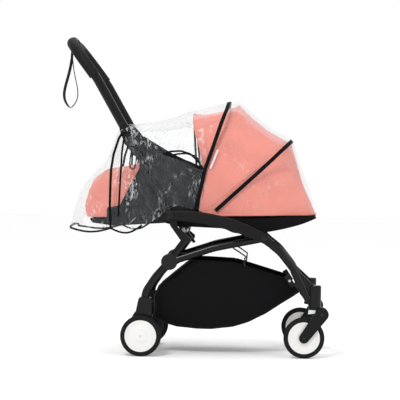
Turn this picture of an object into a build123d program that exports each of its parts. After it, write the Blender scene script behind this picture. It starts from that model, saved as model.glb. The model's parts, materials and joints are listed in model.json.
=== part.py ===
"""Compact folding pushchair with a newborn nest, a bow canopy and a clear rain cover.

Frame: +X is forward, +Y is the left side, +Z is up, and z = 0 is the floor. The origin is on
the floor, under the middle of the chair. Points written as (x, z) lie in the side view, and
every piece that has a left and a right copy is drawn once and mirrored.
"""
from build123d import *
import math
import os

# Side-view pivots and centres, (x, z)
WHEEL_R = 67.0
REAR_WHEEL = (-165.4, WHEEL_R)
FRONT_WHEEL = (369.2, WHEEL_R)
HANDLE_PIVOT = (-72.7, 462.6)
KNUCKLE = (-205.0, 708.0)
LEG_PIVOT = (234.6, 391.0)
HUB = (-75.9, 308.5)
CASTER_X = 404.0
ARM_PIVOT = (426.8, 145.2)
CANOPY_PIVOT = (23.0, 463.0)
HANDLE_TOP = 1053.0
HANDLE_BACK = -431.5

# Widths measured from the middle plane outwards
HALF_WIDTH = 219.0
ARMREST_WIDTH = 21.0
HANDLE_R_LOW = 12.5
HANDLE_R_UP = 15.0
GRIP_R = 18.5
BAR_R = 13.5
SIDE_PLANE = 160.0
FRONT_LEG_R = 13.5
FRONT_PLANE = 197.0
TUBE_WALL = 1.8
SEAT_GAP = 0.3
RUN_GAP = 0.5
PIN_R = 6.0
PIN_PLAY = 0.05
NEST_HALF = 138.0
CANOPY_HALF = 166.5
FABRIC = 2.0

# Wheels
TYRE_BORE_R = 52.0
REAR_WHEEL_WIDTH = 30.0
FRONT_WHEEL_WIDTH = 24.0
AXLE_R = 4.0
LOCK_HOLES = 8
LOCK_R = 24.0

ARMREST_IN = HALF_WIDTH - ARMREST_WIDTH
HANDLE_PLANE = ARMREST_IN - RUN_GAP - HANDLE_R_LOW
BAR_IN = SIDE_PLANE - BAR_R
BAR_OUT = SIDE_PLANE + BAR_R
GRIP_X = HANDLE_BACK + GRIP_R
GRIP_Z = HANDLE_TOP - GRIP_R
LUG_REACH = 36.0
FRONT_TYRE_IN = FRONT_PLANE - FRONT_WHEEL_WIDTH / 2
FRONT_TYRE_OUT = FRONT_PLANE + FRONT_WHEEL_WIDTH / 2
REAR_TYRE_OUT = HALF_WIDTH
REAR_TYRE_IN = HALF_WIDTH - REAR_WHEEL_WIDTH

nodes = {}


def side_plane(y):
    """The XZ plane at y, seen from -Y, so that local x and y are X and Z."""
    return Plane(origin=(0, y, 0), x_dir=(1, 0, 0), z_dir=(0, -1, 0))


def slab(outline, y_in, y_out):
    """A closed side-view outline given thickness from y_in to y_out."""
    return extrude(side_plane(y_out) * make_face(outline), amount=y_out - y_in)


def polygon(*points, radius=0.0):
    if radius:
        return FilletPolyline(*points, radius=radius, close=True)
    return Polyline(*points, close=True)


def disc(centre, radius, y_in, y_out):
    place = side_plane(y_out) * Location((centre[0], centre[1], 0))
    return extrude(place * Circle(radius), amount=y_out - y_in)


def link(start, end, r_start, r_end, y_in, y_out):
    """A flat link with round ends, as the hull of two circles."""
    ends = Sketch() + Location((start[0], start[1])) * Circle(r_start)
    ends += Location((end[0], end[1])) * Circle(r_end)
    return extrude(side_plane(y_out) * make_hull(ends.edges()), amount=y_out - y_in)


def rod(path, radius):
    return sweep(Plane(origin=path @ 0, z_dir=path % 0) * Circle(radius), path=path)


def tube(path, radius, wall=TUBE_WALL):
    return rod(path, radius) - rod(path, radius - wall)


def side_path(points, y, radii=None):
    if radii is None:
        return side_plane(y) * Polyline(*points)
    return side_plane(y) * FilletPolyline(*points, radius=radii)


def along(start, end, distance):
    """The point at a distance from start towards end."""
    length = math.dist(start, end)
    return tuple(s + (e - s) * distance / length for s, e in zip(start, end))


def pair(name, solid):
    """Keep a left piece and its mirrored right copy as two nodes."""
    nodes[name + "_left"] = solid
    nodes[name + "_right"] = mirror(solid, about=Plane.XZ)


def both(solid):
    """A left piece and its mirrored right copy in one node."""
    return [solid, mirror(solid, about=Plane.XZ)]


# ---------------------------------------------------------------- side frames and armrests
ARMREST_TOP = (103.0, 461.0)
ARMREST_BOTTOM = (97.0, 422.5)
BAR_BEND = (72.0, 358.0)
STRUT_TOP = (-22.0, 381.0)
BRACKET_THICK = 8.0
PLATE_IN = BAR_OUT - 2.5 - BRACKET_THICK


def armrest():
    """Arched arm from the handle pivot to the front leg pivot."""
    hx, hz = HANDLE_PIVOT
    lx, lz = LEG_PIVOT
    end_r = 16.0
    top = ThreePointArc((hx, hz + end_r), ARMREST_TOP, (lx + 8, lz + end_r - 2))
    nose = ThreePointArc(top @ 1, (lx + end_r, lz - 4), (lx - 6, lz - end_r + 1))
    bottom = ThreePointArc(nose @ 1, ARMREST_BOTTOM, (hx, hz - end_r))
    tail = ThreePointArc(bottom @ 1, (hx - end_r, hz), top @ 0)
    body = slab(top + nose + bottom + tail, ARMREST_IN, HALF_WIDTH)
    long_edges = [e for e in body.edges() if e.length > 200]
    body = fillet(long_edges, radius=6)
    body -= disc(LEG_PIVOT, LUG_REACH, ARMREST_IN - 1, FRONT_PLANE + 7)
    body -= disc(LEG_PIVOT, PIN_R + PIN_PLAY, ARMREST_IN, HALF_WIDTH - 5)
    return body - disc(HANDLE_PIVOT, PIN_R + PIN_PLAY, ARMREST_IN - 1, HALF_WIDTH - 5)


def side_frame():
    """Lower bar, rear strut, bracket plate and the outer half of the hub, welded in one."""
    start = along(HUB, BAR_BEND, 18)
    bar = rod(side_path([start, BAR_BEND, along(LEG_PIVOT, BAR_BEND, 14)], SIDE_PLANE, 300), BAR_R)
    strut = rod(side_path([along(HUB, STRUT_TOP, 18), STRUT_TOP], SIDE_PLANE), BAR_R)
    hub = disc(HUB, 26, SIDE_PLANE + 0.2, BAR_OUT)
    eye = disc(LEG_PIVOT, 15, SIDE_PLANE - 6, BAR_OUT)
    px, pz = HANDLE_PIVOT
    sx, sz = STRUT_TOP
    outline = polygon(
        (px - 17, pz + 16), (px + 12, pz + 16), (px + 24, pz - 40), (sx + 17, sz + 6),
        (sx + 15, sz - 9), (sx - 14, sz - 6), (px - 2, pz - 34), radius=5)
    plate = slab(outline, PLATE_IN, PLATE_IN + BRACKET_THICK)
    clear = disc(HUB, 27.5, BAR_IN - 1, SIDE_PLANE + 0.2)
    body = bar + strut - clear + hub + eye + plate
    for pivot in (LEG_PIVOT, HANDLE_PIVOT, HUB):
        body -= disc(pivot, PIN_R + PIN_PLAY, BAR_IN - 2, BAR_OUT + 2)
    return body


def pivot_pins():
    """The pins of both handle pivots, both front leg pivots and both hubs."""
    handle = disc(HANDLE_PIVOT, PIN_R, PLATE_IN, HALF_WIDTH - 5.2)
    leg = disc(LEG_PIVOT, PIN_R, SIDE_PLANE - 7, HALF_WIDTH - 5.2)
    hub = disc(HUB, PIN_R, BAR_IN - 1, BAR_OUT)
    head = disc(HUB, 11, BAR_IN - 4, BAR_IN - 1)
    leg_head = disc(LEG_PIVOT, 11, SIDE_PLANE - 10, SIDE_PLANE - 7)
    pins = []
    for pin in (handle, leg + leg_head, hub + head):
        pins += both(pin)
    return pins


FRONT_CROSS = (175.0, 401.0)
FRONT_CROSS_R = 8.0
REAR_CROSS = (-30.0, 412.6)
REAR_CROSS_R = 11.5


def cross_tube(centre, radius, half_length):
    body = disc(centre, radius, -half_length, half_length)
    return body - disc(centre, radius - TUBE_WALL, -half_length, half_length)


def release_lever():
    """Hand lever that hangs on the rear cross tube and frees the fold."""
    cx, cz = REAR_CROSS
    ring = disc(REAR_CROSS, REAR_CROSS_R + 2.5, -24, 24)
    ring -= Location((cx, 0, cz + 17)) * Box(60, 60, 20)
    blade = polygon((cx - 6, cz - 8), (cx + 8, cz - 8), (cx + 34, cz - 44), (cx + 26, cz - 47), radius=2)
    body = ring + slab(blade, -18, 18)
    return body - disc(REAR_CROSS, REAR_CROSS_R + PIN_PLAY, -25, 25)


pair("armrest", armrest())
pair("side_frame", side_frame())
pair("hub_cap", disc(HUB, 27, BAR_OUT, BAR_OUT + 1.8))
nodes["pivot_pins"] = pivot_pins()
nodes["front_cross_tube"] = cross_tube(FRONT_CROSS, FRONT_CROSS_R, BAR_OUT - 3)
nodes["rear_cross_tube"] = cross_tube(REAR_CROSS, REAR_CROSS_R, PLATE_IN - SEAT_GAP)
nodes["release_lever"] = release_lever()

# ---------------------------------------------------------------- rear legs and rear wheels
REAR_KNEE = (-122.0, 256.0)
BRIDGE = (-158.0, 112.0)
BRIDGE_R = 11.0
HOUSING_OUT = REAR_TYRE_IN - 3.0
PIN_TRAVEL = 6.0
BRAKE_PIN_R = 3.5
BRAKE_PIN = (REAR_WHEEL[0] + LOCK_R * math.cos(math.radians(45)),
             REAR_WHEEL[1] + LOCK_R * math.sin(math.radians(45)))


def rear_leg():
    """Curved leg with the inner half of the hub on top and the wheel housing below."""
    bends = [along(HUB, REAR_KNEE, 18), REAR_KNEE, (-154, 207), (-157, 150)]
    leg = rod(side_path(bends, SIDE_PLANE, [60, 60]), BAR_R)
    leg -= disc(HUB, 27.5, SIDE_PLANE - SEAT_GAP, BAR_OUT + 1)
    hub = disc(HUB, 26, BAR_IN - 0.5, SIDE_PLANE - SEAT_GAP)
    wx, wz = REAR_WHEEL
    outline = polygon(
        (wx - 9, 192), (wx + 33, 190), (wx + 34, 122), (wx + 24, wz - 4), (wx, wz - 24),
        (wx - 24, wz - 2), (wx - 20, 140), radius=8)
    housing = slab(outline, BAR_IN - 0.5, HOUSING_OUT)
    body = leg + hub + housing
    body -= disc(HUB, PIN_R + PIN_PLAY, BAR_IN - 2, BAR_OUT)
    body -= disc(REAR_WHEEL, AXLE_R + 1 + PIN_PLAY, BAR_IN + 6, HOUSING_OUT + 1)
    body -= disc(BRAKE_PIN, BRAKE_PIN_R + PIN_PLAY, HOUSING_OUT - 24, HOUSING_OUT + 1)
    return body


def brake_pedal():
    """Foot pedal that turns on the bridge."""
    bx, bz = BRIDGE
    ring = disc(BRIDGE, BRIDGE_R + 4.5, -32, 32)
    blade = polygon((bx - 4, bz + 12), (bx - 44, bz - 6), (bx - 45, bz - 14), (bx - 4, bz - 6), radius=3)
    body = ring + slab(blade, -38, 38)
    return body - disc(BRIDGE, BRIDGE_R + PIN_PLAY, -40, 40)


def tyre(centre, y_in, y_out):
    body = disc(centre, WHEEL_R, y_in, y_out)
    rims = [e for e in body.edges() if e.length > WHEEL_R]
    body = fillet(rims, radius=8)
    return body - disc(centre, TYRE_BORE_R, y_in - 1, y_out + 1)


def wheel_disc(centre, y_in, y_out, holes):
    """Plain dished disc, with a ring of lock holes on the inner face where there is a brake."""
    body = disc(centre, TYRE_BORE_R - 0.02, y_in + 1, y_out - 1)
    body -= disc(centre, TYRE_BORE_R - 8, y_out - 3, y_out) - disc(centre, 20, y_out - 4, y_out)
    body -= disc(centre, AXLE_R + PIN_PLAY, y_in, y_out)
    for hole in range(holes):
        angle = math.radians(45 + 360 * hole / holes)
        place = (centre[0] + LOCK_R * math.cos(angle), centre[1] + LOCK_R * math.sin(angle))
        body -= disc(place, BRAKE_PIN_R + 1, y_in, y_in + 10)
    return body


def rear_axle():
    """Shouldered axle: the thick end sits in the housing and the thin end carries the wheel."""
    thick = disc(REAR_WHEEL, AXLE_R + 1, BAR_IN + 7, HOUSING_OUT + 1)
    return thick + disc(REAR_WHEEL, AXLE_R, HOUSING_OUT + 1, REAR_TYRE_OUT - 4)


pair("rear_leg", rear_leg())
nodes["rear_bridge"] = cross_tube(BRIDGE, BRIDGE_R, BAR_IN - 0.5 - SEAT_GAP)
nodes["brake_pedal"] = brake_pedal()
pair("brake_pin", disc(BRAKE_PIN, BRAKE_PIN_R, HOUSING_OUT - 20, HOUSING_OUT - 0.5))
pair("rear_axle", rear_axle())
pair("rear_tyre", tyre(REAR_WHEEL, REAR_TYRE_IN, REAR_TYRE_OUT))
pair("rear_wheel_disc", wheel_disc(REAR_WHEEL, REAR_TYRE_IN, REAR_TYRE_OUT, LOCK_HOLES))

# ---------------------------------------------------------------- front legs and casters
LEG_SHOULDER = (290.0, 347.0)
LEG_KNEE = (337.0, 288.0)
LEG_END = (383.0, 192.0)
CASTER_TOP = 240.0
CASTER_BOTTOM = 168.0
CASTER_R = 20.0
STEM_R = 9.0
CHEEK = 5.0
CHEEK_R = 22.0
CHEEK_GAP = 1.5
CHEEK_IN = FRONT_TYRE_IN - CHEEK_GAP
CHEEK_OUT = FRONT_TYRE_OUT + CHEEK_GAP


def front_leg():
    """Leg tube with a flat pivot lug above and the caster housing and its web below."""
    lug = link(LEG_PIVOT, along(LEG_PIVOT, LEG_SHOULDER, LUG_REACH), 15, FRONT_LEG_R - 1,
               FRONT_PLANE - 11, FRONT_PLANE + 6)
    start = along(LEG_PIVOT, LEG_SHOULDER, LUG_REACH - 2)
    leg = rod(side_path([start, LEG_SHOULDER, LEG_KNEE, LEG_END], FRONT_PLANE, 130), FRONT_LEG_R)
    web = slab(polygon((322, 282), (352, 284), (CASTER_X, 236), (CASTER_X, 172), (386, 170), (354, 212)),
               FRONT_PLANE - 9, FRONT_PLANE + 9)
    housing = extrude(Location((CASTER_X, FRONT_PLANE, CASTER_BOTTOM)) * Circle(CASTER_R),
                      amount=CASTER_TOP - CASTER_BOTTOM)
    housing = fillet(housing.edges().sort_by(Axis.Z)[-1], radius=5)
    bore = extrude(Location((CASTER_X, FRONT_PLANE, CASTER_BOTTOM - 1)) * Circle(STEM_R + PIN_PLAY),
                   amount=CASTER_TOP - CASTER_BOTTOM - 7)
    return lug + leg + web + housing - bore - disc(LEG_PIVOT, PIN_R + PIN_PLAY, 170, HALF_WIDTH)


def caster_fork():
    """Swivel stem with the head that carries the arm pivot, between the two cheeks."""
    stem = extrude(Location((CASTER_X, FRONT_PLANE, CASTER_BOTTOM - 8)) * Circle(STEM_R),
                   amount=CASTER_TOP - CASTER_BOTTOM - 2)
    ax, az = ARM_PIVOT
    top = CASTER_BOTTOM - SEAT_GAP - 0.2
    outline = polygon((CASTER_X - 21, top), (CASTER_X + 22, top), (ax + 17, az + 8), (ax + 16, az - 12),
                      (ax, az - 19), (CASTER_X - 4, az - 1), (CASTER_X - 21, az + 3))
    head = slab(outline, FRONT_TYRE_IN + 0.5, FRONT_TYRE_OUT - 0.5)
    head -= disc(FRONT_WHEEL, WHEEL_R + 12, 150, HALF_WIDTH)
    return stem + head - disc(ARM_PIVOT, 5 + PIN_PLAY, 150, HALF_WIDTH)


def suspension_arm():
    """Two cheeks joined by the pivot pin and the wheel axle."""
    inner = link(ARM_PIVOT, FRONT_WHEEL, CHEEK_R, 16.5, CHEEK_IN - CHEEK, CHEEK_IN)
    outer = link(ARM_PIVOT, FRONT_WHEEL, CHEEK_R, 16.5, CHEEK_OUT, CHEEK_OUT + CHEEK)
    pin = disc(ARM_PIVOT, 5, CHEEK_IN - 1, CHEEK_OUT + 1)
    axle = disc(FRONT_WHEEL, AXLE_R, CHEEK_IN - 1, CHEEK_OUT + 1)
    return inner + outer + pin + axle


def swivel_lock_tab():
    tab = slab(polygon((381, 146), (404, 148), (406, 159), (383, 160)), FRONT_TYRE_OUT - 0.5, FRONT_TYRE_OUT + 1)
    return tab


pair("front_leg", front_leg())
BRACE = (353.0, 246.0)
BRACE_R = 8.0
nodes["front_brace"] = cross_tube(BRACE, BRACE_R, FRONT_PLANE - FRONT_LEG_R - SEAT_GAP)
pair("caster_fork", caster_fork())
pair("swivel_lock_tab", swivel_lock_tab())
pair("suspension_arm", suspension_arm())
pair("front_tyre", tyre(FRONT_WHEEL, FRONT_TYRE_IN, FRONT_TYRE_OUT))
pair("front_wheel_disc", wheel_disc(FRONT_WHEEL, FRONT_TYRE_IN, FRONT_TYRE_OUT, 0))

# ---------------------------------------------------------------- handle
HANDLE_BEND = (-319.7, 910.0)
BEND_R = 200.0
CORNER_R = 105.0
LUG_R = 17.0
TUBE_START = 34.0
GRIP_LOW = along(HANDLE_BEND, (GRIP_X, GRIP_Z), 14)
WEBBING = 2.0
STRAP_DROP = 217.0
STRAP_BACK = -(ARM_PIVOT[0] + CHEEK_R)
BUTTON_R = 6.0
BUTTON_OUT = 3.0
BUTTON = along(KNUCKLE, HANDLE_BEND, 62)


def handle_tube():
    """Lower handle tube with the inner half of the knuckle."""
    path = side_path([HANDLE_PIVOT, along(KNUCKLE, HANDLE_PIVOT, TUBE_START)], HANDLE_PLANE)
    eye_half = HANDLE_R_LOW - 0.8
    eye = disc(HANDLE_PIVOT, HANDLE_R_LOW + 2, HANDLE_PLANE - eye_half, HANDLE_PLANE + eye_half)
    lug = link(KNUCKLE, along(KNUCKLE, HANDLE_PIVOT, TUBE_START + 8), 24, LUG_R,
               HANDLE_PLANE - HANDLE_R_UP, HANDLE_PLANE - SEAT_GAP)
    body = tube(path, HANDLE_R_LOW) + eye + lug
    return body - disc(HANDLE_PIVOT, PIN_R + PIN_PLAY, 150, HALF_WIDTH) - disc(KNUCKLE, 5, 150, HALF_WIDTH)


def handle_points(x_low, z_low):
    """The handle's bow, from a point on the left side round to the same point on the right."""
    y = HANDLE_PLANE
    low = [(x_low, y, z_low)]
    if z_low < HANDLE_BEND[1]:
        low.append((HANDLE_BEND[0], y, HANDLE_BEND[1]))
    left = low + [(GRIP_X, y, GRIP_Z)]
    return left + [(x, -side, z) for x, side, z in reversed(left)]


def handle_bow():
    """Upper handle: one bent tube, with the outer half of each knuckle at its ends."""
    start = along(KNUCKLE, HANDLE_BEND, TUBE_START)
    path = FilletPolyline(*handle_points(*start), radius=[BEND_R, CORNER_R, CORNER_R, BEND_R])
    body = tube(path, HANDLE_R_UP)
    lug = link(KNUCKLE, along(KNUCKLE, HANDLE_BEND, TUBE_START + 8), 24, LUG_R,
               HANDLE_PLANE + SEAT_GAP, HANDLE_PLANE + HANDLE_R_UP)
    bore = disc(BUTTON, BUTTON_R + PIN_PLAY, HANDLE_PLANE, HANDLE_PLANE + HANDLE_R_UP + 1)
    for extra in both(lug):
        body += extra
    for cut in both(bore):
        body -= cut
    for cut in both(disc(KNUCKLE, 5, 150, HALF_WIDTH)):
        body -= cut
    return body


def grip():
    """Soft sleeve over the handle's bow."""
    path = FilletPolyline(*handle_points(*GRIP_LOW), radius=CORNER_R)
    return rod(path, GRIP_R) - rod(path, HANDLE_R_UP + 0.02)


def strap_outline(inset, top):
    """Side view of the hanging loop, drawn inwards by the webbing's thickness."""
    low = GRIP_Z - STRAP_DROP + inset
    back = STRAP_BACK + inset
    front = GRIP_X + 20 - inset
    wide = GRIP_Z - 160
    return polygon((GRIP_X - 4 + inset, top), (back, wide), (back + 10, low), (front - 10, low),
                   (front, wide), (GRIP_X + 4 - inset, top), radius=1)


def wrist_strap():
    """Webbing loop that hangs from the middle of the grip, with a ring round the grip."""
    band = slab(strap_outline(0, GRIP_Z - GRIP_R), -66, -54)
    band -= slab(strap_outline(WEBBING, GRIP_Z - GRIP_R - 18), -67, -53)
    ring = disc((GRIP_X, GRIP_Z), GRIP_R + WEBBING, -66, -54)
    return band + ring - disc((GRIP_X, GRIP_Z), GRIP_R + 0.1, -67, -53)


pair("handle_tube", handle_tube())
nodes["handle_bow"] = handle_bow()
nodes["grip"] = grip()
nodes["wrist_strap"] = wrist_strap()
pair("knuckle_cap", disc(KNUCKLE, 22, HANDLE_PLANE + HANDLE_R_UP, HANDLE_PLANE + HANDLE_R_UP + 2)
     + disc(KNUCKLE, 4.9, HANDLE_PLANE - HANDLE_R_UP, HANDLE_PLANE + HANDLE_R_UP))
pair("fold_button", disc(BUTTON, BUTTON_R, HANDLE_PLANE + 4, HANDLE_PLANE + HANDLE_R_UP + BUTTON_OUT))

# ---------------------------------------------------------------- nest
TUB_TOP = 560.0
TUB_WALL = 3.0
MUFF_HALF = 150.0
MUFF_WALL = MUFF_HALF - NEST_HALF - SEAT_GAP
MUFF_EDGE = -178.0
PANEL_IN = 160.0
PANEL_THICK = 2.5
TUB_BOTTOM = [(-348, 452), (-335, 434), (-265, 424.5), (-93, 436), (-56, 426), (116, 419.5), (139, 409.5),
              (211, 409.5), (280, 420), (350, 438), (380, 456)]
TUB_RIM = [(366, TUB_TOP - 26), (290, TUB_TOP), (-326, TUB_TOP), (-345, TUB_TOP - 32)]
HEAD_CORNER = (258.0, 372.0, 78.0)
BOARD_Z = 439.4
BOARD_THICK = 5.0
MATTRESS = 26.0


def plan_block(inset, z_low, z_high):
    """Upright block with the nest's plan: straight sides and cut corners at the head end."""
    half = NEST_HALF - inset
    side_end, nose, nose_half = HEAD_CORNER
    plan = Polyline((-400, -half), (side_end, -half), (nose - inset, inset - nose_half),
                    (nose - inset, nose_half - inset), (side_end, half), (-400, half), close=True)
    return extrude(Location((0, 0, z_low)) * make_face(plan), amount=z_high - z_low)


def nest_tub():
    """Fabric tub: floor and four low walls."""
    outer = slab(polygon(*(TUB_BOTTOM + TUB_RIM)), -NEST_HALF, NEST_HALF)
    floor = [(x, z + TUB_WALL) for x, z in TUB_BOTTOM[1:-1]]
    foot = [(-342, 600), (-342, TUB_TOP - 32), (-344, 454)]
    head = [(375, 458), (362, TUB_TOP - 26), (362, 600)]
    room = slab(polygon(*(foot + floor + head)), -NEST_HALF, NEST_HALF)
    outer = outer & plan_block(0, 300, 700)
    return outer - (room & plan_block(TUB_WALL, 300, 700))


def foot_muff():
    """Padded hood over the foot end, open towards the child and underneath."""
    outer = [(-362, 440), (-362, 492), (-356, 542), (-333, 582), (-294, 609), (-251, 623), (MUFF_EDGE, 629),
             (MUFF_EDGE, 440)]
    inner = [(-362 + MUFF_WALL, 400), (-362 + MUFF_WALL, 490), (-349, 539), (-327, 576), (-291, 601),
             (-250, 615), (MUFF_EDGE + 20, 621), (MUFF_EDGE + 20, 400)]
    body = slab(polygon(*outer), -MUFF_HALF, MUFF_HALF)
    return body - slab(polygon(*inner), MUFF_WALL - MUFF_HALF, MUFF_HALF - MUFF_WALL)


def side_panel():
    """Fabric wall beside the child, drawn up to the knuckle."""
    outline = polygon((-182, 724), (-94.5, 671), (4, 622), (10, 490), (2, 480), (-92, 441), (-272, 428),
                      (-241, 492), (-176, 618))
    return slab(outline, PANEL_IN, PANEL_IN + PANEL_THICK)


nodes["nest_tub"] = nest_tub()
pad_z = BOARD_Z + BOARD_THICK + SEAT_GAP
bed = slab(polygon((-330, 300), (330, 300), (330, 700), (-330, 700)), -NEST_HALF, NEST_HALF)
nodes["base_board"] = bed & plan_block(6, BOARD_Z, BOARD_Z + BOARD_THICK)
nodes["mattress"] = bed & plan_block(8, pad_z, pad_z + MATTRESS)
nodes["foot_muff"] = foot_muff()
pair("side_panel", side_panel())

# ---------------------------------------------------------------- canopy
BOW_R = 3.5
BOW_STEP = 8.0
BOWS = {"front": (94.6, 340.0), "middle": (71.5, 390.0), "rear": (38.7, 387.0)}
HEM_ANGLE = 1.0
HEM_REACH = 386.0
CROWN_DROP = 130.0
CROWN_IN = 75.0
HINGE_R = 9.0
EYE_HALF = 3.0
BOW_GAP = 1.0
BOW_PLANES = {"front": CANOPY_HALF - FABRIC - BOW_R - BOW_GAP}
BOW_PLANES["middle"] = BOW_PLANES["front"] - BOW_STEP
BOW_PLANES["rear"] = BOW_PLANES["middle"] - BOW_STEP


def fan_plane(angle):
    """A plane through the canopy pivot: local x is Y, and local y points out at the angle."""
    a = math.radians(angle)
    x, z = CANOPY_PIVOT
    return Plane(origin=(x, 0, z), x_dir=(0, 1, 0), z_dir=(math.sin(a), 0, -math.cos(a)))


def crown(half, reach, foot):
    """An arch in the fan plane, from the left foot over the crown to the right foot."""
    rise = reach - CROWN_DROP
    return FilletPolyline((half, foot), (half, rise), (half - CROWN_IN, reach), (CROWN_IN - half, reach),
                          (-half, rise), (-half, foot), radius=[200, 120, 120, 200])


def bow(name):
    """One canopy bow with an eye at each foot."""
    angle, reach = BOWS[name]
    half = BOW_PLANES[name]
    path = fan_plane(angle) * crown(half, reach - FABRIC - BOW_R - BOW_GAP, 6)
    body = rod(path, BOW_R)
    for y in (half, -half):
        body += disc(CANOPY_PIVOT, HINGE_R, y - EYE_HALF, y + EYE_HALF)
        body -= disc(CANOPY_PIVOT, 4 + PIN_PLAY, y - BOW_R - 1, y + BOW_R + 1)
    return body


def canopy_section(angle, reach):
    """The fabric's section in one fan plane."""
    outer = crown(CANOPY_HALF, reach, 14)
    inner = crown(CANOPY_HALF - FABRIC, reach - FABRIC, 14)
    edges = outer + inner + Line(outer @ 0, inner @ 0) + Line(outer @ 1, inner @ 1)
    return fan_plane(angle) * make_face(edges)


def canopy_fabric():
    """Fabric stretched over the three bows and down to the hem."""
    stations = list(BOWS.values()) + [(HEM_ANGLE, HEM_REACH)]
    return loft([canopy_section(angle, reach) for angle, reach in stations], ruled=True)


def canopy_pivot():
    """Pin that carries the three bows, with a flange on the nest's wall."""
    flange = disc(CANOPY_PIVOT, 14, NEST_HALF + SEAT_GAP, NEST_HALF + 2.5)
    return flange + disc(CANOPY_PIVOT, 4, NEST_HALF + 2.5, BOW_PLANES["front"] + BOW_R)


for bow_name in BOWS:
    nodes["canopy_bow_" + bow_name] = bow(bow_name)
nodes["canopy_fabric"] = canopy_fabric()
pair("canopy_pivot", canopy_pivot())

# ---------------------------------------------------------------- basket
BASKET_HALF = 146.0
BASKET_WALL = 1.6
BASKET_TOP = [(-10, 314), (62, 328), (285, 273), (322, 252)]
BASKET_LOW = [(362, 212), (352, 200), (330, 193), (292, 169), (243, 137), (190, 110), (132, 91.5), (64, 83), (11, 84),
              (-53, 91), (-82, 100), (-128, 117), (-130, 191), (-114, 228)]
CLIP = (353.0, 221.0)


def basket():
    """Fabric tub under the seat, open on top."""
    outer = slab(polygon(*(BASKET_TOP + BASKET_LOW)), -BASKET_HALF, BASKET_HALF)
    middle = (100.0, 210.0)
    shrunk = [along(point, middle, 2 * BASKET_WALL) for point in BASKET_LOW]
    above = [(-10, 420), (330, 420)]
    room = slab(polygon(*(above + shrunk)), BASKET_WALL - BASKET_HALF, BASKET_HALF - BASKET_WALL)
    return outer - room


def basket_elastic():
    """Short elastic from the lower bar to the basket's rim."""
    y = BASKET_HALF + 3
    points = [(133, y + 9, 354.5), (160, y + 5, 342), (181, y + 1, 327), (171, y, 309), (176, y, 297)]
    return rod(FilletPolyline(*points, radius=[30, 9, 10]), 2)


nodes["basket"] = basket()
nodes["basket_clips"] = both(disc(CLIP, 6, BASKET_HALF + SEAT_GAP, FRONT_PLANE - 10.6))
nodes["basket_elastics"] = both(basket_elastic())

# ---------------------------------------------------------------- rain cover
COVER = 1.2
COVER_STATIONS = [
    # x, crown z, hem z, half width, shoulder
    (-411, 424, 407, 150, 7), (-395, 500, 405, 166, 40), (-372, 556, 405, 180, 60), (-338, 600, 406, 192, 70),
    (-290, 650, 408, 202, 60), (-246, 746, 410, 205.5, 20), (-188, 764, 414, 206, 20),
    (-124, 774, 446, 206, 34), (-62, 792, 492, 204, 70), (0, 814, 484, 176, 110), (60, 830, 480, 170, 120),
    (110, 842, 476, 170, 120), (150, 841, 472, 170, 120), (200, 800, 470, 170, 110), (262, 752, 472, 170, 100),
    (330, 709, 476, 170, 90), (352, 648, 478, 170, 70), (378, 574, 480, 169.5, 40), (404, 500, 481, 169, 8)]


def cover_arch(top, hem, half, shoulder):
    """One open arch of the cover, as points (y, z) from the left hem to the right hem."""
    left = [(half, hem), (half, top - shoulder), (half - 0.3 * shoulder, top - 0.4 * shoulder),
            (half - 0.75 * shoulder, top - 0.08 * shoulder), (0.25 * half, top)]
    return left + [(-y, z) for y, z in reversed(left)]


def cover_section(x, top, hem, half, shoulder):
    outer = cover_arch(top, hem, half, shoulder)
    inner = cover_arch(top - COVER, hem, half - COVER, shoulder)
    outline = Polyline(*(outer + inner[::-1]), close=True)
    return Plane(origin=(x, 0, 0), x_dir=(0, 1, 0), z_dir=(1, 0, 0)) * make_face(outline)


def rain_cover():
    """Thin clear cover over nest and canopy, with a vent on each side and two handle holes."""
    cover = loft([cover_section(*station) for station in COVER_STATIONS], ruled=True)
    vent = ThreePointArc((-98, 664), (-38, 676), (30, 620)) + Line((30, 620), (-98, 664))
    cover -= slab(vent, -HALF_WIDTH, HALF_WIDTH)
    hole_path = side_path([along(KNUCKLE, HANDLE_BEND, 4), HANDLE_BEND], HANDLE_PLANE)
    for hole in both(rod(hole_path, HANDLE_R_UP + 9)):
        cover -= hole
    return cover


nodes["rain_cover"] = rain_cover()

# ---------------------------------------------------------------- write the nodes
os.makedirs("parts", exist_ok=True)
for name, shape in nodes.items():
    if isinstance(shape, list):
        shape = Compound(children=shape)
    export_step(shape, "parts/" + name + ".step")
print(len(nodes), "nodes written")
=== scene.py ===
"""Looks of a compact folding pushchair with a newborn nest, a bow canopy and a clear rain cover.

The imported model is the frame. Fabric, film, webbing and small trim are made here around it,
and the rigid pieces keep their own meshes and get their finishes. Lengths are in metres.
"""
import json
import math

import bpy
from bpy.props import FloatProperty, FloatVectorProperty, PointerProperty
from mathutils import Matrix, Vector, noise

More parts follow.
